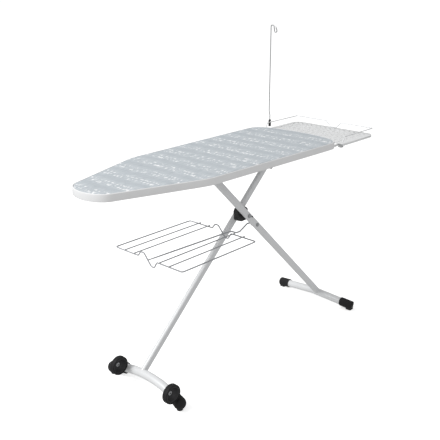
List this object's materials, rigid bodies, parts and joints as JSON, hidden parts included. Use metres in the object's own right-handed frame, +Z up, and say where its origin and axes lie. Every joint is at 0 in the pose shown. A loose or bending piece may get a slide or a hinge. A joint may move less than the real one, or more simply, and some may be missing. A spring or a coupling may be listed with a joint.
{
  "type": "ironing board",
  "caption": "Full-size ironing board with crossed single-tube legs, wire linen rack, perforated iron rest with guard rail, flex holder and transport wheels.",
  "frame": {"origin": "centre of the outer box on the floor plane", "axes": "+X from the nose to the iron rest, +Y across the board away from the release lever, +Z up, floor at z = 0"},
  "size_m": [1.514, 0.468, 1.3528],
  "materials": {
    "white_edge": "satin white edge band",
    "white_paint": "white powder coat",
    "plate_paint": "light grey powder coat",
    "silver_paint": "silver-grey powder coat",
    "zinc_steel": "zinc plated",
    "bright_steel": "bright plated",
    "felt": "felt under-pad",
    "cover_cloth": "printed cotton, pale blue-grey",
    "black_plastic": "matt black",
    "black_rubber": "matt black",
    "wheel_plastic": "matt dark grey",
    "wheel_tyre": "matt black",
    "wire_paint": "silver-grey powder coat on wire"
  },
  "bodies": {
    "board": {"rim": "white_edge", "deck": "zinc_steel", "pad": "felt", "cover": "cover_cloth", "channel_near": "white_paint", "channel_far": "white_paint", "height_rack": "zinc_steel", "hinge_bracket": "zinc_steel", "hinge_pin": "bright_steel", "lever_rivet": "bright_steel", "rest_plate": "plate_paint", "rest_bracket_near": "plate_paint", "rest_bracket_far": "plate_paint", "rest_screws": "bright_steel", "guard_rail": "white_paint", "flex_clip": "black_plastic"},
    "lever": {"release_lever": "zinc_steel", "lever_grip": "black_plastic"},
    "flex_holder": {"flex_wire": "bright_steel"},
    "leg_2": {"leg2_tube": "silver_paint", "leg2_plug": "black_plastic", "foot2_tube": "silver_paint", "foot2_cap_near": "black_rubber", "foot2_cap_far": "black_rubber", "wheel_axles": "bright_steel", "pivot_spacer": "black_plastic", "pivot_bolt": "bright_steel", "pivot_nut": "bright_steel", "wheel_arm_near": "black_plastic", "wheel_arm_far": "black_plastic"},
    "wheel_near": {"wheel_near": "wheel_plastic", "wheel_near_tyre": "wheel_tyre"},
    "wheel_far": {"wheel_far": "wheel_plastic", "wheel_far_tyre": "wheel_tyre"},
    "leg_1": {"leg1_tube": "silver_paint", "leg1_plug": "black_plastic", "foot1_tube": "silver_paint", "foot1_cap_near": "black_rubber", "foot1_cap_far": "black_rubber", "slider_pin": "bright_steel", "slider_washers": "black_plastic", "stop_button": "black_plastic", "rack_pin": "bright_steel"},
    "linen_rack": {"rack_frame": "wire_paint", "rack_wires": "wire_paint", "rack_rod": "wire_paint", "rack_eye": "bright_steel"}
  },
  "joints": [
    {"name": "leg_2_fold", "type": "hinge", "parent": "board", "child": "leg_2", "pos_m": [0.32846, 0.0283, 0.82781], "axis": [0, 1, 0], "range_deg": [0, 41.5]},
    {"name": "leg_1_scissor", "type": "hinge", "parent": "leg_2", "child": "leg_1", "pos_m": [0.0835, 0, 0.5993], "axis": [0, 1, 0], "range_deg": [-83, 0]},
    {"name": "rack_swing", "type": "hinge", "parent": "leg_1", "child": "linen_rack", "pos_m": [0.1385, -0.013, 0.54514], "axis": [0, 1, 0], "range_deg": [0, 41.5]},
    {"name": "wheel_near_roll", "type": "hinge", "parent": "leg_2", "child": "wheel_near", "pos_m": [-0.5436, -0.195, 0.0887], "axis": [0, 1, 0], "continuous": true},
    {"name": "wheel_far_roll", "type": "hinge", "parent": "leg_2", "child": "wheel_far", "pos_m": [-0.5436, 0.109, 0.0887], "axis": [0, 1, 0], "continuous": true},
    {"name": "lever_squeeze", "type": "hinge", "parent": "board", "child": "lever", "pos_m": [-0.0435, -0.075, 0.865], "axis": [0, 0, 1], "range_deg": [0, 12], "stiffness_Nm_per_rad": 2},
    {"name": "flex_swivel", "type": "hinge", "parent": "board", "child": "flex_holder", "pos_m": [0.53, 0.217, 0.91], "axis": [0, 0, 1], "range_deg": [-180, 180]}
  ],
  "couplings": [
    {"joint": "leg_1_scissor", "follows": "leg_2_fold", "ratio": -2},
    {"joint": "rack_swing", "follows": "leg_2_fold", "ratio": 1}
  ]
}
